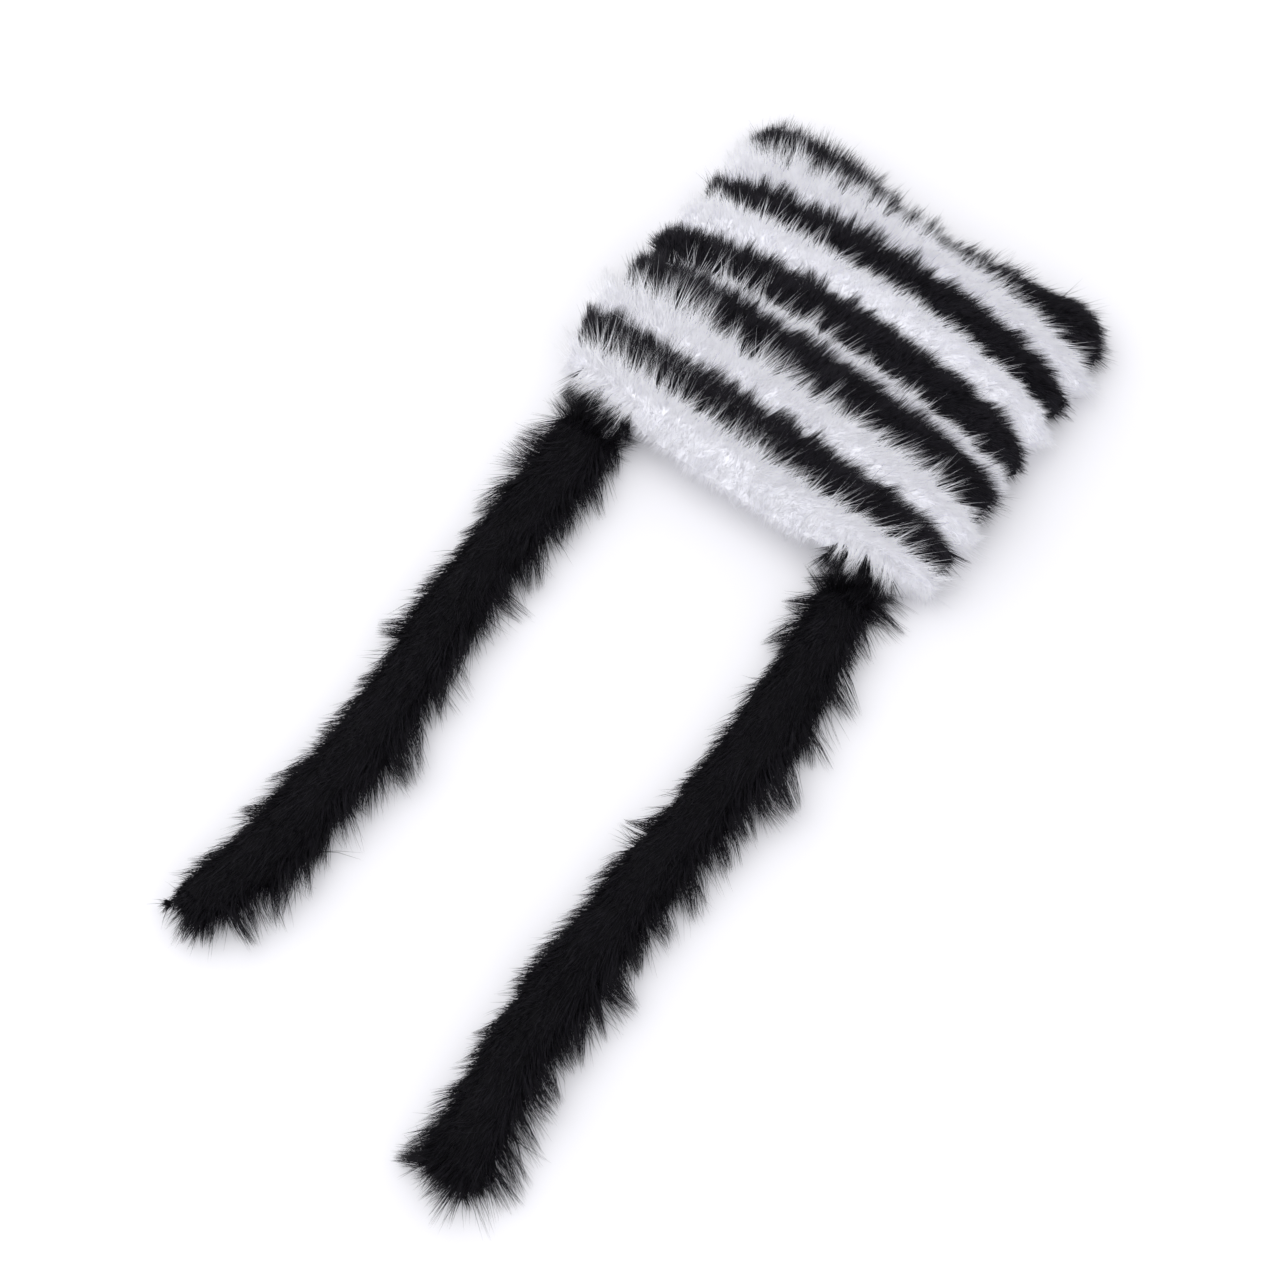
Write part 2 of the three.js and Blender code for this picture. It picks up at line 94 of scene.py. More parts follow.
# Kinds of hair
# length, thick: mm, thick at the root. rise: degrees over the surface. lock: how many hairs are in a lock.
# stray, sway: spreads of single hairs and of whole locks, in degrees. gather: how far a lock's tips draw
# together. bold, uneven: how much locks, and hairs within them, differ in length, as a share.
# wisp: how far the tips of small bunches draw together. bends: how many parts a hair has, 1 when straight.
HAIR = {
    "white_pile": {
        "length": 8.0, "rise": 38, "stray": 13, "lock": 40, "sway": 11, "gather": 0.2,
        "bold": 0.12, "uneven": 0.2, "wisp": 0.5, "thick": 0.3, "bends": 1,
    },
    "white_fringe": {
        "length": 17.5, "rise": 19, "stray": 9, "lock": 40, "sway": 15, "gather": 0.55,
        "bold": 0.22, "uneven": 0.35, "wisp": 0.85, "thick": 0.36, "bends": 1,
    },
    "white_guard": {
        "length": 25, "rise": 27, "stray": 11, "lock": 9, "sway": 15, "gather": 0.45,
        "bold": 0.25, "uneven": 0.3, "wisp": 0.7, "thick": 0.38, "bends": 1,
    },
    "black_pile": {
        "length": 8.0, "rise": 36, "stray": 12, "lock": 60, "sway": 10, "gather": 0.35,
        "bold": 0.15, "uneven": 0.2, "wisp": 0.5, "thick": 0.32, "bends": 1,
    },
    "black_fringe": {
        "length": 14.0, "rise": 25, "stray": 8, "lock": 80, "sway": 13, "gather": 0.55,
        "bold": 0.25, "uneven": 0.3, "wisp": 0.85, "thick": 0.36, "bends": 1,
    },
    "black_guard": {
        "length": 17, "rise": 24, "stray": 16, "lock": 8, "sway": 14, "gather": 0.35,
        "bold": 0.2, "uneven": 0.3, "wisp": 0.5, "thick": 0.32, "bends": 1,
    },
    "tie_pile": {
        "length": 10.0, "rise": 17, "stray": 7, "lock": 60, "sway": 7, "gather": 0.4,
        "bold": 0.12, "uneven": 0.2, "wisp": 0.6, "thick": 0.42, "bends": 1,
    },
    "tie_fringe": {
        "length": 21.0, "rise": 11, "stray": 5, "lock": 105, "sway": 17, "gather": 0.85,
        "bold": 0.36, "uneven": 0.2, "wisp": 0.9, "thick": 0.5, "bends": 2,
    },
    "tie_guard": {
        "length": 23.0, "rise": 12, "stray": 9, "lock": 12, "sway": 13, "gather": 0.5,
        "bold": 0.25, "uneven": 0.25, "wisp": 0.8, "thick": 0.42, "bends": 2,
    },
    "tie_root": {
        "length": 19.0, "rise": 58, "stray": 14, "lock": 20, "sway": 14, "gather": 0.3,
        "bold": 0.2, "uneven": 0.25, "wisp": 0.7, "thick": 0.42, "bends": 1,
    },
    "tie_lap": {
        "length": 17.0, "rise": 15, "stray": 10, "lock": 14, "sway": 14, "gather": 0.45,
        "bold": 0.25, "uneven": 0.25, "wisp": 0.8, "thick": 0.42, "bends": 1,
    },
}

# What all kinds of hair share
# mean, shortest, longest: a hair's length to that of its kind. lock_rise, hair_rise: spreads of the rise in
# degrees. stand: how much steeper a hair sets out than its tip lies. middle: where its middle is along it.
# clear_tip, clear_middle: the least slopes out of the surface. lock_shade, hair_shade: spreads of the shade.
# near: hairs whose tips are further apart than this share of their length don't draw together.
GROWTH = {
    "mean": 0.88, "shortest": 0.25, "longest": 1.3,
    "lock_rise": 5, "hair_rise": 7, "stand": 1.8, "middle": 0.45, "clear_tip": 0.1, "clear_middle": 0.25,
    "lock_shade": 0.2, "hair_shade": 0.18, "near": 0.8,
}
MOST_LIFT = 10 * MM  # the highest that a hair's tip stands over its root
ROOT_LIFT = 20 * MM  # the same where a tie is sewn in
WISP = {"size": 7, "sway": 6}  # small bunches: how many hairs each has, and the spread of their turns

# Pieces of the hat: the node that each replaces, its yarn, its numbers of hairs, and how long its outer hairs
# are, as a share
HAT_PIECES = [
    {"node": "brim_white", "yarn": "white", "pile": 8600, "fringe": 1700, "guard": 2300, "reach": 1.2},
    {"node": "stripe_2_black", "yarn": "black", "pile": 8000, "fringe": 6000, "guard": 1200, "reach": 1.12},
    {"node": "stripe_3_white", "yarn": "white", "pile": 12000, "fringe": 2900, "guard": 2200, "reach": 1.0},
    {"node": "stripe_4_black", "yarn": "black", "pile": 8500, "fringe": 6000, "guard": 900, "reach": 1.0},
    {"node": "stripe_5_white", "yarn": "white", "pile": 6500, "fringe": 1300, "guard": 600, "reach": 0.8},
    {"node": "stripe_6_black", "yarn": "black", "pile": 8500, "fringe": 5500, "guard": 700, "reach": 0.85},
    {"node": "stripe_7_white", "yarn": "white", "pile": 11700, "fringe": 1500, "guard": 700, "reach": 0.7},
    {"node": "stripe_8_black", "yarn": "black", "pile": 8000, "fringe": 6000, "guard": 700, "reach": 1.0},
    {"node": "stripe_9_white", "yarn": "white", "pile": 12200, "fringe": 4200, "guard": 800, "reach": 0.95},
    {"node": "crown_ears_black", "yarn": "black", "pile": 9500, "fringe": 6000, "guard": 1000, "reach": 1.0},
]
# Pieces of the ties. left, right: where the tie's fur laps over the brim's edge, in mm from the hat's middle.
# flare: how much longer the fur of its left edge is near the hat, as a share.
TIE_PIECES = [
    {"node": "tie_left", "pile": 10000, "fringe": 6500, "guard": 900, "root": 1100, "lap": 2000,
     "left": -112, "right": -73, "flare": 0.3},
    {"node": "tie_right", "pile": 11000, "fringe": 7200, "guard": 1000, "root": 1100, "lap": 1700,
     "left": 70, "right": 104, "flare": 0.15},
]

# How dense the nap is on a stripe, as shares. A pair is a fade, from its start to its end, on the way through
# the stripe.
DENSITY = {
    "contrast": 3,  # how soon it is full where the wall turns to face out
    "underside": 0.3,
    "brim_edge": 0.7,
    "tie_gap": 0.9,  # how much of the brim's nap makes way for a tie's fur
    "thin_stripe": 0.06,  # what is left where the thin white stripe gives way
    "crown_start": 0.2,
    "crown_fade": (0.1, 0.45),
    "right_fold": 0.7,  # how much of the black nap is gone at the right fold
    "pile_start": 0.6,
    "pile_gain": 0.4,
    "fringe_fade": (0.45, 0.8),
    "guard_start": 0.15,
    "guard_fade": (0.3, 0.7),
}
SEAM_FACING = 0.85  # faces that look this squarely at the next stripe grow no nap
UNDERSIDE_LENGTH = 0.5  # of the hairs under the hat, as a share
PILE_LENGTH = {"start": 0.55, "gain": 0.45, "fade": (0, 0.35)}  # pile is shorter where a stripe starts
INNER_WALL = {"hairs": 700, "length": 0.4, "facing": -0.2, "elsewhere": 1e-9}  # short hairs inside, a piece
THIN_STRIPE_FADE = (-116 * MM, -98 * MM)  # where the thin white stripe gives way on the left
RIGHT_FOLD_FADE = (0.86, 1.0)  # where black hairs thin out at the right fold, as shares of half the hat
BRIM_EDGE_FACING = (0.4, 0.8)  # how squarely a face looks out of the mouth to count as the brim's edge

# Hairs that hang over the brim's edge. fade: how far up the brim they start. tie_density, tie_reach: how much
# denser and longer they are over a tie. edge_reach: how much shorter on the edge itself. droop, edge_droop:
# how far they fall. turn, fan: the way they point in degrees, and how far that turns at the folds.
# shade: share of their shade kept away from the ties, painted shade that darkens the brim's lower edge
BRIM_HANGING = {
    "hairs": 4900, "reach": 0.72, "shade": 0.8, "fade": (0.3, 0.65), "tie_density": 9, "tie_reach": 0.6,
    "edge_reach": 0.35, "droop": 0.35, "edge_droop": 0.9, "turn": -88, "fan": 25,
}
# White nap over the crown's start: how far into the crown, and how far towards the right ear
CROWN_LAP = {"hairs": 3200, "share": (0.35, 0.6), "across": (0.35, 0.65)}
# A tie's fur over the brim's edge: how far up the brim it starts, how far it falls and how it fans out
BRIM_LAP = {"share": 0.25, "droop": 0.5, "fan": 28}

# The fur of a tie. Places along it are in mm from its end or from its start at the hat, and places across it
# are shares of half its width. A pair is a fade.
TO_THE_END = -90  # the way along a tie, in degrees from +X towards +Y
TIE_FUR = {
    "underside": 0.25,  # density and length under the tie
    "underside_length": 0.7,
    "edge": (0.45, 0.9),
    "end": 14,
    "top": (30, 8),
    "sewn": (26, 6),
    "near_hat": (130, 40),
    "widest": 1.1,  # the furthest that a hair counts as out from the middle
    "curve": 1.5,  # how late the fur turns outwards on the way to an edge
    "left_turn": 0.8,
    "right_turn": 1.2,
    "root_fan": 60,
}
TIE_LENGTHS = {"across": [-0.8, 0.2, 0.8], "length": [0.7, 0.85, 1.1]}
TIE_NAP = [
    {"kind": "pile", "middle": 1.0, "edge": 0.0, "end": 0.0, "top": 0.0, "fan": 14},
    {"kind": "fringe", "middle": 0.12, "edge": 1.0, "end": 1.0, "top": 0.5, "fan": 50},
    {"kind": "guard", "middle": 0.2, "edge": 1.0, "end": 1.0, "top": 0.0, "fan": 44},
]

# From the left fold to the right one: how long each yarn's outer hairs are, and how dense the longest are
NAP = [
    {"across": -1.0, "white": 0.72, "black": 0.78, "strands": 2.2},
    {"across": -0.8, "white": 1.15, "black": 1.0, "strands": 1.9},
    {"across": -0.3, "white": 1.05, "black": 1.0, "strands": 1.1},
    {"across": 0.2, "white": 0.85, "black": 1.0, "strands": 0.9},
    {"across": 0.8, "white": 0.9, "black": 0.95, "strands": 1.0},
    {"across": 1.0, "white": 0.75, "black": 0.8, "strands": 0.8},
]

# The chart of each piece, as shares of its width and height: the body below, and hairs above it
BODY_CHART = {"size": (0.98, 0.48), "corner": (0.01, 0.01), "fold": 66, "margin": 0.002}
HAIR_CHART = {"left": 0.02, "width": 0.96, "foot": 0.52, "height": 0.46}

# How a hair is made: a cone of so many sides, turned about its curve from a direction that no hair runs along
HAIR_SIDES = 3
SIDE_GUIDE = (0.31, 0.17, 0.94)

# Finishes: how much of the deepest and palest shade a hair can take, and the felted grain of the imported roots
DEEPEST = 0.8
PALEST = 0.6
PATCHES = {"scale": 90, "detail": 2}
GRAIN = {"scale": 900, "detail": 4, "strength": 0.6, "depth": 0.6 * MM}
MATT = {"Roughness": 0.9, "Specular_IOR_Level": 0.1}
MIX_COLOURS = {"start": 6, "end": 7, "result": 2}  # the sockets of a Mix node that are for colours

# The picture: where it is taken from and lit from, in metres, degrees and millimetres of lens. turn: from +X
# towards +Y.
CAMERA = {
    "turn": -55, "elevation": 67, "distance": 1.7045, "lens": 85, "aim": (0.0057, -0.00053, 0.0), "far": 30,
}
SKY = {"colour": (0.97, 0.975, 1.0), "strength": 1.06}
SOFTBOX = {
    "turn": 190, "elevation": 62, "distance": 2.2, "size": 2.8, "energy": 21, "colour": (1.0, 0.99, 0.98),
}
PAPER = {"half_size": 8.0, "colour": (0.84, 0.835, 0.86)}
NO_LENGTH = 1e-12  # stands in for a length of nothing in a division


def unit(vectors):
    return vectors / np.maximum(np.linalg.norm(vectors, axis=1, keepdims=True), NO_LENGTH)


def from_turn(degrees):
    """Level directions, turned from +X towards +Y."""
    angle = np.radians(degrees)
    return np.stack([np.cos(angle), np.sin(angle), np.zeros_like(angle)], axis=1)


def smooth_step(values, start, end):
    share = np.clip((values - start) / (end - start), 0, 1)
    return share * share * (3 - 2 * share)


def read(items, name, width, kind=np.float32):
    """A property of all items of a mesh as rows of so many numbers."""
    values = np.zeros(len(items) * width, kind)
    items.foreach_get(name, values)
    return values.reshape(-1, width).astype(np.float64 if kind is np.float32 else kind)


def triangulate(mesh):
    shape = bmesh.new()
    shape.from_mesh(mesh)
    bmesh.ops.triangulate(shape, faces=shape.faces)
    shape.to_mesh(mesh)
    shape.free()


def soft_body(node, inset=0):
    """Points, triangles, normals and a chart of a smooth copy of a CAD solid, its underside pressed flat."""
    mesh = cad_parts[node].data.copy()
    welded = bmesh.new()
    welded.from_mesh(mesh)
    bmesh.ops.remove_doubles(welded, verts=welded.verts, dist=WELD)
    welded.to_mesh(mesh)
    welded.free()
    body = bpy.data.objects.new(node + "_body", mesh)
    bpy.context.scene.collection.objects.link(body)
    remesh = body.modifiers.new("even", "REMESH")
    remesh.mode = "VOXEL"
    remesh.voxel_size = BODY_VOXEL
    smooth = body.modifiers.new("soft", "SMOOTH")
    smooth.factor = BODY_SOFTNESS
    smooth.iterations = BODY_SMOOTHING
    depsgraph = bpy.context.evaluated_depsgraph_get()
    even = bpy.data.meshes.new_from_object(body.evaluated_get(depsgraph))
    body.modifiers.clear()
    body.data = even
    points = read(even.vertices, "co", 3)
    inward = read(even.vertices, "normal", 3)
    inward[:, 2] = np.maximum(inward[:, 2], 0)
    points = points - inset * inward
    points[:, 2] = np.maximum(points[:, 2], UNDERSIDE_LEVEL)
    even.vertices.foreach_set("co", points.ravel())
    triangulate(even)
    bpy.context.view_layer.objects.active = body
    body.select_set(True)
    bpy.ops.object.mode_set(mode="EDIT")
    bpy.ops.mesh.select_all(action="SELECT")
    bpy.ops.uv.smart_project(angle_limit=math.radians(BODY_CHART["fold"]), island_margin=BODY_CHART["margin"])
    bpy.ops.object.mode_set(mode="OBJECT")
    made = {
        "points": read(even.vertices, "co", 3),
        "triangles": read(even.loops, "vertex_index", 1, np.int32).reshape(-1, 3),
        "normals": read(even.vertices, "normal", 3),
        "chart": read(even.uv_layers.active.data, "uv", 2),
    }
    bpy.data.objects.remove(body)
    return made


def face_frames(body):
    """The centre and the normal of each triangle of a body."""
    corners = body["points"][body["triangles"]]
    normals = unit(np.cross(corners[:, 1] - corners[:, 0], corners[:, 2] - corners[:, 0]))
    return corners.mean(axis=1), normals


def spans(points, over, across, slices):
    """In even slices over one axis, the lowest and the highest place of the points along the other one."""
    edges = np.linspace(points[:, over].min(), points[:, over].max(), slices + 1)
    which = np.clip(np.digitize(points[:, over], edges), 1, slices)
    rows = []
    for number in range(1, slices + 1):
        inside = points[which == number]
        if len(inside):
            rows.append((inside[:, over].mean(), inside[:, across].min(), inside[:, across].max()))
    return np.array(rows).T


def run_share(body, points):
    """How far through its stripe each point lies: 0 on the brim's side, 1 on the crown's."""
    places, low, high = spans(body["points"], 0, 1, STRIPE_SLICES)
    start = np.interp(points[:, 0], places, low)
    end = np.interp(points[:, 0], places, high)
    return (points[:, 1] - start) / (end - start)


def scatter(body, weights, count, rng):
    """Hair roots spread over a body by area and weight: their places and surface normals."""
    corners = body["points"][body["triangles"]]
    area = np.linalg.norm(np.cross(corners[:, 1] - corners[:, 0], corners[:, 2] - corners[:, 0]), axis=1)
    share = area * weights
    chosen = rng.choice(len(corners), count, p=share / share.sum())
    a, b = rng.random((2, count))
    fold = a + b > 1
    a[fold], b[fold] = 1 - a[fold], 1 - b[fold]
    mix = np.stack([1 - a - b, a, b], axis=1)[:, :, None]
    roots = (corners[chosen] * mix).sum(axis=1)
    normals = unit((body["normals"][body["triangles"][chosen]] * mix).sum(axis=1))
    return roots, normals


def bunches(roots, size, rng):
    """Leaders picked among the roots, and for each root the number of its nearest leader."""
    leaders = rng.choice(len(roots), max(1, len(roots) // size), replace=False)
    tree = KDTree(len(leaders))
    for number, leader in enumerate(leaders):
        tree.insert(roots[leader], number)
    tree.balance()
    return leaders, np.array([tree.find(root)[1] for root in roots])


def drawn_together(tips, leaders, bunch, gather, length, rng):
    """Tips moved towards their leader's, by a random share up to gather, unless it is far off."""
    way = tips[leaders][bunch] - tips
    near = np.linalg.norm(way, axis=1) < GROWTH["near"] * length
    return tips + way * (gather * rng.random(len(tips)) * near)[:, None]


def grow(roots, normals, turn, hair, rng, scale=1.0, tilt=None, most=MOST_LIFT):
    """Hairs as curves of three points, with a shade, a turn and a lowest level for each."""
    count = len(roots)
    leaders, lock = bunches(roots, hair["lock"], rng)
    heads, wisp = bunches(roots, WISP["size"], rng)
    turn = turn + rng.normal(0, hair["sway"], len(leaders))[lock]
    turn = turn + rng.normal(0, WISP["sway"], len(heads))[wisp] + rng.normal(0, hair["stray"], count)
    comb = from_turn(turn)
    if tilt is not None:
        comb = unit(comb + tilt)
    bold = rng.normal(1, hair["bold"], len(leaders))[lock]
    share = bold * rng.normal(GROWTH["mean"], hair["uneven"], count)
    length = hair["length"] * MM * scale * np.clip(share, GROWTH["shortest"], GROWTH["longest"])
    rise = hair["rise"] + rng.normal(0, GROWTH["lock_rise"], len(leaders))[lock]
    rise = np.radians(rise + rng.normal(0, GROWTH["hair_rise"], count))[:, None]
    steep = GROWTH["stand"] * rise
    reach = clear_of(unit(comb * np.cos(rise) + normals * np.sin(rise)), normals, GROWTH["clear_tip"])
    stand = clear_of(unit(comb * np.cos(steep) + normals * np.sin(steep)), normals, GROWTH["clear_middle"])
    middles = roots + stand * (length * GROWTH["middle"])[:, None]
    tips = roots + reach * length[:, None]
    tips = drawn_together(tips, leaders, lock, hair["gather"], length, rng)
    tips = drawn_together(tips, heads, wisp, hair["wisp"], length, rng)
    shade = 0.5 + GROWTH["lock_shade"] * rng.normal(size=len(leaders))[lock]
    shade = shade + GROWTH["hair_shade"] * rng.normal(size=count)
    return {
        "root": roots,
        "middle": kept_low(middles, roots, most),
        "tip": kept_low(tips, roots, most),
        "shade": np.clip(shade, 0, 1),
        "start": rng.random(count) * math.tau,
        "level": SURFACE_CLEARANCE + SURFACE_LAYER * rng.random(count),
    }


def kept_low(points, roots, most):
    """Points of hairs with their height over the root eased off below the most that it may be."""
    lift = points[:, 2] - roots[:, 2]
    lower = np.where(lift > 0, lift - most * np.tanh(lift / most), 0)
    return points - lower[:, None] * [0, 0, 1]


def clear_of(ways, normals, least):
    """Directions turned away from a surface until they leave it at least so steeply."""
    short = np.maximum(least - (ways * normals).sum(axis=1, keepdims=True), 0)
    return unit(ways + normals * short)


def root_points(hairs):
    """An object whose points are the roots of some hairs, with what else is known of each as attributes."""
    mesh = bpy.data.meshes.new("roots")
    mesh.vertices.add(len(hairs["root"]))
    mesh.vertices.foreach_set("co", hairs["root"].astype(np.float32).ravel())
    for name, values in hairs.items():
        kind, part = ("FLOAT_VECTOR", "vector") if values.ndim == 2 else ("FLOAT", "value")
        mesh.attributes.new(name, kind, "POINT").data.foreach_set(part, values.astype(np.float32).ravel())
    points = bpy.data.objects.new("roots", mesh)
    bpy.context.scene.collection.objects.link(points)
    return points


def assemble(name, body, hair_sets, materials):
    """One mesh of a body and its hairs, the body charted in the lower half and the hairs in the upper."""
    mesh = bpy.data.meshes.new(name)
    mesh.from_pydata(body["points"], [], body["triangles"].tolist())
    chart = body["chart"] * BODY_CHART["size"] + BODY_CHART["corner"]
    mesh.uv_layers.new(name="OFBake").data.foreach_set("uv", chart.astype(np.float32).ravel())
    mesh.materials.append(materials[0])
    piece = bpy.data.objects.new(name, mesh)
    bpy.context.scene.collection.objects.link(piece)
    planted = []
    for hair, hairs in hair_sets:
        planted.append(root_points(hairs))
        modifier = piece.modifiers.new("hairs", "NODES")
        modifier.node_group = HAIR_TREE
        settings = {"Roots": planted[-1], "Thickness": hair["thick"] * MM, "Bends": hair["bends"],
                    "Yarn": materials[1]}
        for setting, value in settings.items():
            modifier[HAIR_TREE.interface.items_tree[setting].identifier] = value
    depsgraph = bpy.context.evaluated_depsgraph_get()
    made = bpy.data.meshes.new_from_object(piece.evaluated_get(depsgraph))
    piece.modifiers.clear()
    piece.data = made
    for points in planted:
        bpy.data.objects.remove(points)
    for attribute in ("root", "middle", "tip", "shade", "start", "level"):
        made.attributes.remove(made.attributes[attribute])
    made.shade_smooth()
    return piece


def across_hat(points):
    """How far across the hat points lie: -1 at the left fold, 1 at the right one."""
    return (points[:, 0] - HAT_MIDDLE) / HAT_HALF_WIDTH


def from_table(rows, column, across):
    return np.interp(across, [row["across"] for row in rows], [row[column] for row in rows])


def hat_turn(roots):
    """The way that the nap is brushed at each root of the hat, in degrees from +X towards +Y."""
    across = np.clip(across_hat(roots), -1, 1)
    up = (roots[:, 1] - BRIM_Y) / HAT_LENGTH
    near_crown = np.clip(up * CROWN_TURN["rate"] - CROWN_TURN["offset"], 0, 1)
    turn = from_table(COMB, "turn", across)
    turn = turn + CROWN_TURN["turn"] * near_crown * np.clip(across * CROWN_TURN["across"], 0, 1)
    for wave in SWIRLS:
        place = roots[:, 0] / wave["along_x"] + roots[:, 1] / wave["along_y"] + wave["start"]
        turn = turn + wave["turn"] * np.sin(math.tau * place)
    return turn


def facing_out(body, top):
    """The centres and normals of a stripe's faces, and how much each looks away from the hollow."""
    centres, normals = face_frames(body)
    inset = HAT_HALF_WIDTH - HOLLOW_INSET
    hollow = np.stack([
        np.clip(centres[:, 0] - HAT_MIDDLE, -inset, inset) + HAT_MIDDLE,
        centres[:, 1],
        np.full(len(centres), HOLLOW_LEVEL * top),
    ], axis=1)
    return centres, normals, (unit(centres - hollow) * normals).sum(axis=1)


def outer_side(outward):
    """1 on the faces that look away from the hollow, and 0 on those of the inner wall."""
    return np.clip(outward * DENSITY["contrast"], 0, 1)


def brim_edge(normals):
    """1 on the faces of the brim's edge, which look out of the mouth, and 0 on the others."""
    return smooth_step(-normals[:, 1], *BRIM_EDGE_FACING)


def at_ties(points):
    """1 where a tie is sewn in at the brim and 0 away from it."""
    across = points[:, 0] - HAT_MIDDLE
    near = [(across > row["left"] * MM) & (across < row["right"] * MM) for row in TIE_PIECES]
    return np.any(near, axis=0).astype(float)


def resting(points):
    return points[:, 2] < UNDERSIDE_LEVEL + RESTING_BAND


def nap_density(row, share, centres, normals, outward):
    """How dense the nap is on each face of a stripe. share: how far through the stripe each face lies."""
    node = row["node"]
    outer = outer_side(outward) * np.where(resting(centres), DENSITY["underside"], 1)
    if node not in ("brim_white", "crown_ears_black"):
        outer = outer * (np.abs(normals[:, 1]) < SEAM_FACING)
    if node == "stripe_5_white":
        outer = outer * (DENSITY["thin_stripe"] + smooth_step(centres[:, 0], *THIN_STRIPE_FADE))
    if node == "brim_white":
        outer = np.maximum(outer, DENSITY["brim_edge"] * brim_edge(normals))
        outer = outer * (1 - DENSITY["tie_gap"] * at_ties(centres) * (share < BRIM_LAP["share"]))
    if node == "crown_ears_black":
        outer = outer * (DENSITY["crown_start"] + smooth_step(share, *DENSITY["crown_fade"]))
    if row["yarn"] == "black":
        outer = outer * (1 - DENSITY["right_fold"] * smooth_step(across_hat(centres), *RIGHT_FOLD_FADE))
    return outer


def dress_stripe(row, rng):
    """One run of yarn: its soft body, with short pile, a fringe over the next run and single guard hairs."""
    node = row["node"]
    body = soft_body(node)
    centres, normals, outward = facing_out(body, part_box(node)[1].z)
    share = run_share(body, centres)
    outer = nap_density(row, share, centres, normals, outward)
    guarded = DENSITY["guard_start"] + smooth_step(share, *DENSITY["guard_fade"])
    plan = [
        ("pile", outer * (DENSITY["pile_start"] + DENSITY["pile_gain"] * share), 1.0),
        ("fringe", outer * smooth_step(share, *DENSITY["fringe_fade"]), row["reach"]),
        ("guard", outer * guarded * from_table(NAP, "strands", across_hat(centres)), row["reach"]),
    ]
    sets = []
    for kind, weights, reach in plan:
        hair = HAIR[row["yarn"] + "_" + kind]
        roots, directions = scatter(body, weights, row[kind], rng)
        scale = reach * np.where(resting(roots), UNDERSIDE_LENGTH, 1)
        if kind == "pile":
            grown = smooth_step(run_share(body, roots), *PILE_LENGTH["fade"])
            scale = scale * (PILE_LENGTH["start"] + PILE_LENGTH["gain"] * grown)
        else:
            scale = scale * from_table(NAP, row["yarn"], across_hat(roots))
        sets.append((hair, grow(roots, directions, hat_turn(roots), hair, rng, scale)))
    if node == "brim_white":
        sets.append((HAIR["white_fringe"], hang_over_brim(body, outer, share, rng)))
    if node == "stripe_9_white":
        sets.append((HAIR["white_pile"], lap_over_crown(rng)))
    hair = HAIR[row["yarn"] + "_pile"]
    inner = np.where(outward < INNER_WALL["facing"], 1.0, INNER_WALL["elsewhere"])
    roots, directions = scatter(body, inner, INNER_WALL["hairs"], rng)
    sets.append((hair, grow(roots, directions, hat_turn(roots), hair, rng, INNER_WALL["length"])))
    materials = [MATERIALS["wall_" + row["yarn"]], MATERIALS["nap_" + row["yarn"]]]
    finish_piece(assemble(node + "_yarn", body, sets, materials), node)


def hang_over_brim(body, outer, share, rng):
    """The brim's nap that falls over its edge, longer and thicker where it falls over a tie."""
    centres, normals = face_frames(body)
    low = 1 - smooth_step(share, *BRIM_HANGING["fade"])
    weights = outer * low * (1 + BRIM_HANGING["tie_density"] * at_ties(centres))
    weights = weights + DENSITY["brim_edge"] * brim_edge(normals)
    roots, directions = scatter(body, weights, BRIM_HANGING["hairs"], rng)
    over_tie = at_ties(roots)
    edge = brim_edge(directions)
    droop = BRIM_HANGING["droop"] * (1 - over_tie) + BRIM_HANGING["edge_droop"] * edge
    falling = -droop[:, None] * [0, 0, 1]
    turn = BRIM_HANGING["turn"] + BRIM_HANGING["fan"] * across_hat(roots)
    reach = BRIM_HANGING["reach"] * (1 + BRIM_HANGING["tie_reach"] * over_tie)
    reach = reach * (1 - BRIM_HANGING["edge_reach"] * edge)
    hairs = grow(roots, directions, turn, HAIR["white_fringe"], rng, reach, falling)
    # Painted shade: away from the ties the hanging hairs are made deeper, darkening the brim's lower edge
    return {**hairs, "shade": hairs["shade"] * np.where(over_tie > 0, 1, BRIM_HANGING["shade"])}


def lap_over_crown(rng):
    """The last white run's nap that lies over the start of the crown, except at the right ear."""
    crown = soft_body("crown_ears_black")
    centres, _, outward = facing_out(crown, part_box("crown_ears_black")[1].z)
    early = 1 - smooth_step(run_share(crown, centres), *CROWN_LAP["share"])
    left = 1 - smooth_step(across_hat(centres), *CROWN_LAP["across"])
    roots, directions = scatter(crown, outer_side(outward) * early * left, CROWN_LAP["hairs"], rng)
    return grow(roots, directions, hat_turn(roots), HAIR["white_pile"], rng)


def lap_over_brim(row, rng):
    """A tie's fur that laps over the brim's edge, where the tie is sewn in."""
    brim = soft_body("brim_white")
    centres, normals, outward = facing_out(brim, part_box("brim_white")[1].z)
    low = run_share(brim, centres) < BRIM_LAP["share"]
    left, right = HAT_MIDDLE + row["left"] * MM, HAT_MIDDLE + row["right"] * MM
    sewn = (centres[:, 0] > left) & (centres[:, 0] < right)
    outer = np.maximum(outer_side(outward), brim_edge(normals))
    roots, directions = scatter(brim, outer * low * sewn, row["lap"], rng)
    across = 2 * (roots[:, 0] - left) / (right - left) - 1
    falling = np.tile([0, 0, -BRIM_LAP["droop"]], (len(roots), 1))
    return grow(roots, directions, TO_THE_END + BRIM_LAP["fan"] * across, HAIR["tie_lap"], rng, tilt=falling)


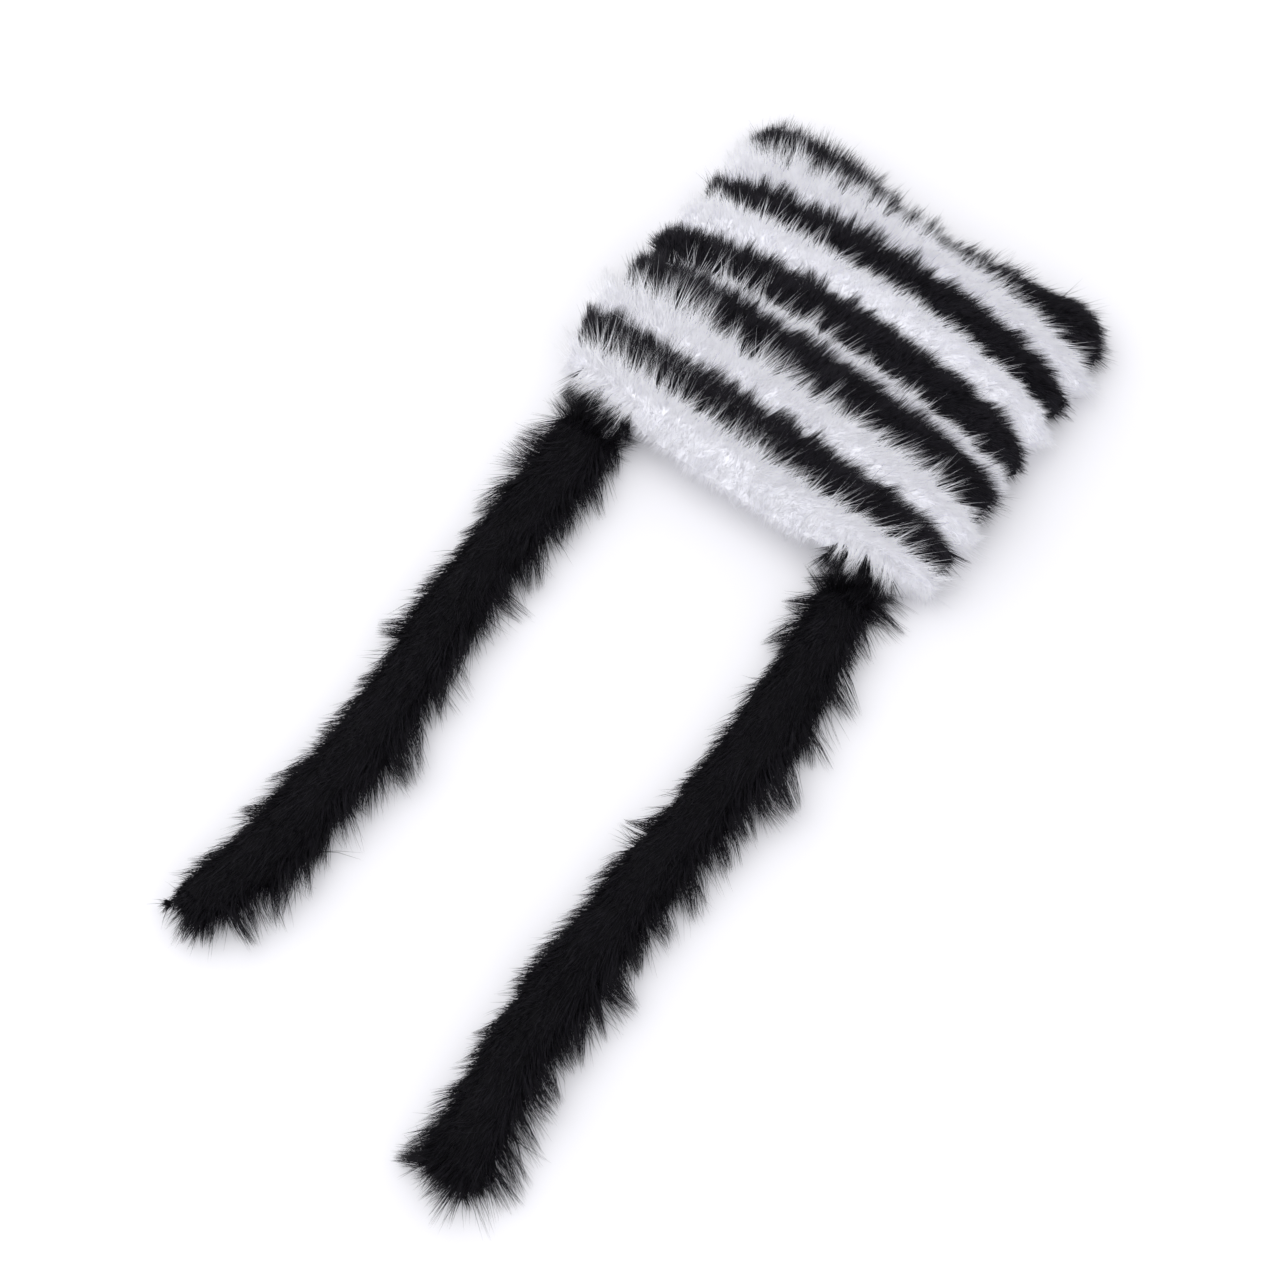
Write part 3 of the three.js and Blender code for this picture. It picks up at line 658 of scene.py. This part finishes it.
def dress_tie(row, rng):
    """One tie: its soft body with thick fur, fanned out at its edges and its end, and laid over the brim."""
    node = row["node"]
    body = soft_body(node, TIE_INSET)
    centres, _ = face_frames(body)
    levels, left, right = spans(body["points"], 1, 0, TIE_SLICES)

    def side_of(points):
        middle = np.interp(points[:, 1], levels, 0.5 * (left + right))
        half = np.interp(points[:, 1], levels, 0.5 * (right - left))
        return np.clip((points[:, 0] - middle) / half, -TIE_FUR["widest"], TIE_FUR["widest"])

    def near_hat(points, start, full):
        return smooth_step(points[:, 1], levels.max() - start * MM, levels.max() - full * MM)

    even = np.where(resting(centres), TIE_FUR["underside"], 1.0)
    edge = smooth_step(np.abs(side_of(centres)), *TIE_FUR["edge"])
    end = smooth_step(-centres[:, 1], -levels.min() - TIE_FUR["end"] * MM, -levels.min())
    top = near_hat(centres, *TIE_FUR["top"])
    sets = []
    for nap in TIE_NAP:
        hair = HAIR["tie_" + nap["kind"]]
        dense = nap["middle"] + nap["edge"] * edge + nap["end"] * end + nap["top"] * top
        roots, directions = scatter(body, even * dense, row[nap["kind"]], rng)
        side = side_of(roots)
        outwards = np.where(side > 0, TIE_FUR["right_turn"], TIE_FUR["left_turn"]) * np.sign(side)
        turn = TO_THE_END + nap["fan"] * outwards * np.abs(side) ** TIE_FUR["curve"]
        scale = np.where(resting(roots), TIE_FUR["underside_length"], 1)
        scale = scale * np.interp(side, TIE_LENGTHS["across"], TIE_LENGTHS["length"])
        scale = scale + row["flare"] * (side < 0) * near_hat(roots, *TIE_FUR["near_hat"])
        sets.append((hair, grow(roots, directions, turn, hair, rng, scale)))
    roots, directions = scatter(body, near_hat(centres, *TIE_FUR["sewn"]) * even, row["root"], rng)
    turn = -TO_THE_END - TIE_FUR["root_fan"] * side_of(roots)
    sets.append((HAIR["tie_root"], grow(roots, directions, turn, HAIR["tie_root"], rng, most=ROOT_LIFT)))
    sets.append((HAIR["tie_lap"], lap_over_brim(row, rng)))
    materials = [MATERIALS["tie_backing"], MATERIALS["tie_fur"]]
    finish_piece(assemble(node + "_fur", body, sets, materials), node)


def finish_piece(piece, node):
    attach(piece, "root")
    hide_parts(node)


class Field:
    """A number or a vector that varies over a shape: a socket, with arithmetic that adds the nodes for it."""

    def __init__(self, tree, socket):
        self.tree = tree
        self.socket = socket

    def maths(self, operation, *inputs):
        vector = any(isinstance(value, Field) and value.socket.type == "VECTOR" for value in inputs)
        node = self.tree.nodes.new("ShaderNodeVectorMath" if vector else "ShaderNodeMath")
        node.operation = operation
        for slot, value in zip(node.inputs, inputs):
            if isinstance(value, Field):
                self.tree.links.new(value.socket, slot)
            else:
                slot.default_value = value
        return Field(self.tree, node.outputs[0])

    def __add__(self, other):
        return self.maths("ADD", self, other)

    def __radd__(self, other):
        return self.maths("ADD", other, self)

    def __sub__(self, other):
        return self.maths("SUBTRACT", self, other)

    def __rsub__(self, other):
        return self.maths("SUBTRACT", other, self)

    def __mul__(self, other):
        return self.maths("MULTIPLY", self, other)

    def __rmul__(self, other):
        return self.maths("MULTIPLY", other, self)

    def __pow__(self, other):
        return self.maths("POWER", self, other)

    def cross(self, other):
        return self.maths("CROSS_PRODUCT", self, other)

    def unit(self):
        return self.maths("NORMALIZE", self)

    def at_least(self, other):
        return self.maths("MAXIMUM", self, other)


class Tree:
    """A node tree under construction."""

    def __init__(self, tree):
        self.tree = tree

    def node(self, kind, settings=None, **inputs):
        made = self.tree.nodes.new(kind)
        for name, value in (settings or {}).items():
            setattr(made, name, value)
        for name, value in inputs.items():
            self.plug(made.inputs[name.replace("_", " ")], value)
        return made

    def plug(self, slot, value):
        if isinstance(value, Field):
            self.tree.links.new(value.socket, slot)
        elif isinstance(value, bpy.types.NodeSocket):
            self.tree.links.new(value, slot)
        else:
            slot.default_value = value

    def field(self, socket):
        return Field(self.tree, socket)

    def split(self, vector):
        parts = self.node("ShaderNodeSeparateXYZ", Vector=vector)
        return [self.field(parts.outputs[axis]) for axis in "XYZ"]

    def joined(self, **parts):
        return self.field(self.node("ShaderNodeCombineXYZ", **parts).outputs["Vector"])

    def attribute(self, name, kind="FLOAT"):
        found = self.node("GeometryNodeInputNamedAttribute", {"data_type": kind}, Name=name)
        return self.field(found.outputs["Attribute"])


def hair_nodes():
    """A tree that grows a closed, tapering hair on each point of the object Roots, beside the mesh given."""
    group = bpy.data.node_groups.new("hairs", "GeometryNodeTree")
    group.interface.new_socket("Geometry", in_out="OUTPUT", socket_type="NodeSocketGeometry")
    group.interface.new_socket("Geometry", in_out="INPUT", socket_type="NodeSocketGeometry")
    group.interface.new_socket("Roots", in_out="INPUT", socket_type="NodeSocketObject")
    group.interface.new_socket("Thickness", in_out="INPUT", socket_type="NodeSocketFloat")
    group.interface.new_socket("Bends", in_out="INPUT", socket_type="NodeSocketInt")
    group.interface.new_socket("Yarn", in_out="INPUT", socket_type="NodeSocketMaterial")
    tree = Tree(group)
    given = tree.node("NodeGroupInput").outputs

    # A cone one unit long stands on each root and becomes a mesh of its own
    roots = tree.node("GeometryNodeObjectInfo", Object=given["Roots"]).outputs["Geometry"]
    cone = tree.node("GeometryNodeMeshCone", {"fill_type": "NGON"}, Vertices=HAIR_SIDES,
                     Side_Segments=given["Bends"], Radius_Top=0.0, Radius_Bottom=1.0,
                     Depth=1.0).outputs["Mesh"]
    planted = tree.node("GeometryNodeInstanceOnPoints", Points=roots, Instance=cone,
                        Rotation=tree.joined(Z=tree.attribute("start")))
    cones = tree.node("GeometryNodeRealizeInstances", Geometry=planted.outputs["Instances"])

    # Where a point of the cone comes to lie, round a curve from the root over the middle to the tip
    root, middle, tip = (tree.attribute(name, "FLOAT_VECTOR") for name in ("root", "middle", "tip"))
    place = tree.field(tree.node("GeometryNodeInputPosition").outputs["Position"])
    out_x, out_y, share = tree.split(place - root)
    rest = 1 - share
    centre = root * (rest * rest) + middle * (2 * share * rest) + tip * (share * share)
    along = ((middle - root) * rest + (tip - middle) * share).unit()
    side = along.cross(SIDE_GUIDE).unit()
    half = tree.field(given["Thickness"]) * 0.5
    wall = centre + side * (out_x * half) + along.cross(side) * (out_y * half)
    x, y, z = tree.split(wall)
    z = z.at_least(tree.attribute("level"))

    # The chart holds the hair's shade from left to right and its length upwards, in the upper half
    chart = tree.joined(X=HAIR_CHART["left"] + HAIR_CHART["width"] * tree.attribute("shade"),
                        Y=HAIR_CHART["foot"] + HAIR_CHART["height"] * share)
    charted = tree.node("GeometryNodeStoreNamedAttribute", {"data_type": "FLOAT2", "domain": "CORNER"},
                        Geometry=cones.outputs["Geometry"], Name="OFBake", Value=chart)
    hairs = tree.node("GeometryNodeSetPosition", Geometry=charted.outputs["Geometry"],
                      Position=tree.joined(X=x, Y=y, Z=z))
    dyed = tree.node("GeometryNodeSetMaterial", Geometry=hairs.outputs["Geometry"], Material=given["Yarn"])
    both = tree.node("GeometryNodeJoinGeometry")
    tree.plug(both.inputs["Geometry"], given["Geometry"])
    tree.plug(both.inputs["Geometry"], dyed.outputs["Geometry"])
    tree.node("NodeGroupOutput", Geometry=both.outputs["Geometry"])
    return group


class Finish(Tree):
    """A material under construction."""

    def __init__(self, name):
        self.material = bpy.data.materials.new(name)
        self.material.use_nodes = True
        super().__init__(self.material.node_tree)
        self.surface = self.tree.nodes["Principled BSDF"]

    def set(self, **inputs):
        for name, value in inputs.items():
            self.plug(self.surface.inputs[name.replace("_", " ")], value)
        return self

    def chart(self):
        chart = self.node("ShaderNodeUVMap", {"uv_map": "OFBake"})
        return self.split(chart.outputs["UV"])[:2]

    def noise(self, scale, detail):
        place = self.node("ShaderNodeTexCoord").outputs["Object"]
        made = self.node("ShaderNodeTexNoise", Vector=place, Scale=scale, Detail=detail)
        return self.field(made.outputs["Fac"])

    def blend(self, share, start, end):
        mix = self.node("ShaderNodeMix", {"data_type": "RGBA"}, Factor=share)
        self.plug(mix.inputs[MIX_COLOURS["start"]], start)
        self.plug(mix.inputs[MIX_COLOURS["end"]], end)
        return mix.outputs[MIX_COLOURS["result"]]


def colour(red, green, blue):
    return (red, green, blue, 1)


def hair_finish(name, root, tip, pale, deep, rough, gloss, painted_glow=0):
    """Hair that changes from root to tip, with some hairs paler and some deeper than others."""
    finish = Finish(name)
    shade, height = finish.chart()
    along = (height - HAIR_CHART["foot"]) * (1 / HAIR_CHART["height"])
    # Painted shade at the root and painted light through the thin tip: the colour runs root to tip
    body = finish.blend(along, root, tip)
    body = finish.blend((1 - shade) ** 2 * DEEPEST, body, deep)
    body = finish.blend(shade ** 2 * PALEST, body, pale)
    finish.set(Base_Color=body, Roughness=rough, Specular_IOR_Level=gloss)
    # Painted light: the hair glows in its tip colour, standing in for light scattered within white fur
    finish.set(Emission_Color=tip, Emission_Strength=painted_glow)
    return finish.material


def wall_finish(name, light, shadow, painted_glow=0):
    """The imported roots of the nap: soft and uneven, with a fine felted grain."""
    finish = Finish(name)
    patches = finish.noise(PATCHES["scale"], PATCHES["detail"])
    grain = finish.noise(GRAIN["scale"], GRAIN["detail"])
    finish.set(Base_Color=finish.blend(patches, shadow, light), **MATT)
    # Painted light: the wall glows in its lighter colour, standing in for light scattered within white fur
    finish.set(Emission_Color=light, Emission_Strength=painted_glow)
    bump = finish.node("ShaderNodeBump", Strength=GRAIN["strength"], Distance=GRAIN["depth"], Height=grain)
    finish.set(Normal=bump.outputs["Normal"])
    return finish.material


# The glow of the white nap and white wall is painted light, standing in for light scattered in the fur
MATERIALS = {
    # Every hair is darker at the root than the tip: painted shade at the roots, painted light at the tips
    "nap_white": hair_finish("nap_white", root=colour(0.86, 0.855, 0.895), tip=colour(0.90, 0.90, 0.94),
                             pale=colour(0.96, 0.96, 0.98), deep=colour(0.76, 0.76, 0.81),
                             rough=0.6, gloss=0.25, painted_glow=0.15),
    "nap_black": hair_finish("nap_black", root=colour(0.0115, 0.0105, 0.015), tip=colour(0.021, 0.019, 0.026),
                             pale=colour(0.050, 0.046, 0.058), deep=colour(0.006, 0.0055, 0.008),
                             rough=0.55, gloss=0.2),
    "tie_fur": hair_finish("tie_fur", root=colour(0.0055, 0.005, 0.0078), tip=colour(0.0095, 0.0085, 0.0125),
                           pale=colour(0.018, 0.016, 0.022), deep=colour(0.003, 0.0028, 0.0045),
                           rough=0.5, gloss=0.2),
    "wall_white": wall_finish("wall_white", light=colour(0.87, 0.87, 0.91), shadow=colour(0.82, 0.82, 0.87),
                              painted_glow=0.15),
    "wall_black": wall_finish("wall_black", light=colour(0.012, 0.0115, 0.015),
                              shadow=colour(0.007, 0.007, 0.009)),
    "tie_backing": wall_finish("tie_backing", light=colour(0.006, 0.0055, 0.007),
                               shadow=colour(0.003, 0.003, 0.0035)),
}


def from_angles(turn, elevation):
    """A direction from its angle from +X towards +Y and its angle over the floor, both in degrees."""
    turn, elevation = math.radians(turn), math.radians(elevation)
    return Vector((
        math.cos(turn) * math.cos(elevation), math.sin(turn) * math.cos(elevation), math.sin(elevation)))


def lay_floor():
    half = PAPER["half_size"]
    corners = [(-half, -half, 0), (half, -half, 0), (half, half, 0), (-half, half, 0)]
    mesh = bpy.data.meshes.new("floor")
    mesh.from_pydata(corners, [], [(0, 1, 2, 3)])
    floor = bpy.data.objects.new("floor", mesh)
    bpy.context.scene.collection.objects.link(floor)
    paper = Finish("pale_paper").set(Base_Color=colour(*PAPER["colour"]), **MATT)
    mesh.materials.append(paper.material)


def light_studio():
    world = bpy.data.worlds.new("studio")
    bpy.context.scene.world = world
    world.use_nodes = True
    background = world.node_tree.nodes["Background"]
    background.inputs["Color"].default_value = colour(*SKY["colour"])
    background.inputs["Strength"].default_value = SKY["strength"]
    lamp = bpy.data.lights.new("softbox", "AREA")
    lamp.shape = "SQUARE"
    lamp.size = SOFTBOX["size"]
    lamp.energy = SOFTBOX["energy"]
    lamp.color = SOFTBOX["colour"]
    softbox = bpy.data.objects.new("softbox", lamp)
    softbox.location = SOFTBOX["distance"] * from_angles(SOFTBOX["turn"], SOFTBOX["elevation"])
    softbox.rotation_euler = (-softbox.location).to_track_quat("-Z", "Y").to_euler()
    bpy.context.scene.collection.objects.link(softbox)


def place_camera():
    back = from_angles(CAMERA["turn"], CAMERA["elevation"])
    data = bpy.data.cameras.new("camera")
    data.lens = CAMERA["lens"]
    data.clip_end = CAMERA["far"]
    camera = bpy.data.objects.new("camera", data)
    camera.location = Vector(CAMERA["aim"]) + back * CAMERA["distance"]
    camera.rotation_euler = (-back).to_track_quat("-Z", "Y").to_euler()
    bpy.context.scene.collection.objects.link(camera)
    bpy.context.scene.camera = camera
    bpy.context.scene.view_settings.view_transform = "Standard"


HAIR_TREE = hair_nodes()
place_camera()
for number, row in enumerate(HAT_PIECES):
    dress_stripe(row, np.random.default_rng(SEED + number))
for number, row in enumerate(TIE_PIECES):
    dress_tie(row, np.random.default_rng(SEED + len(HAT_PIECES) + number))
lay_floor()
light_studio()
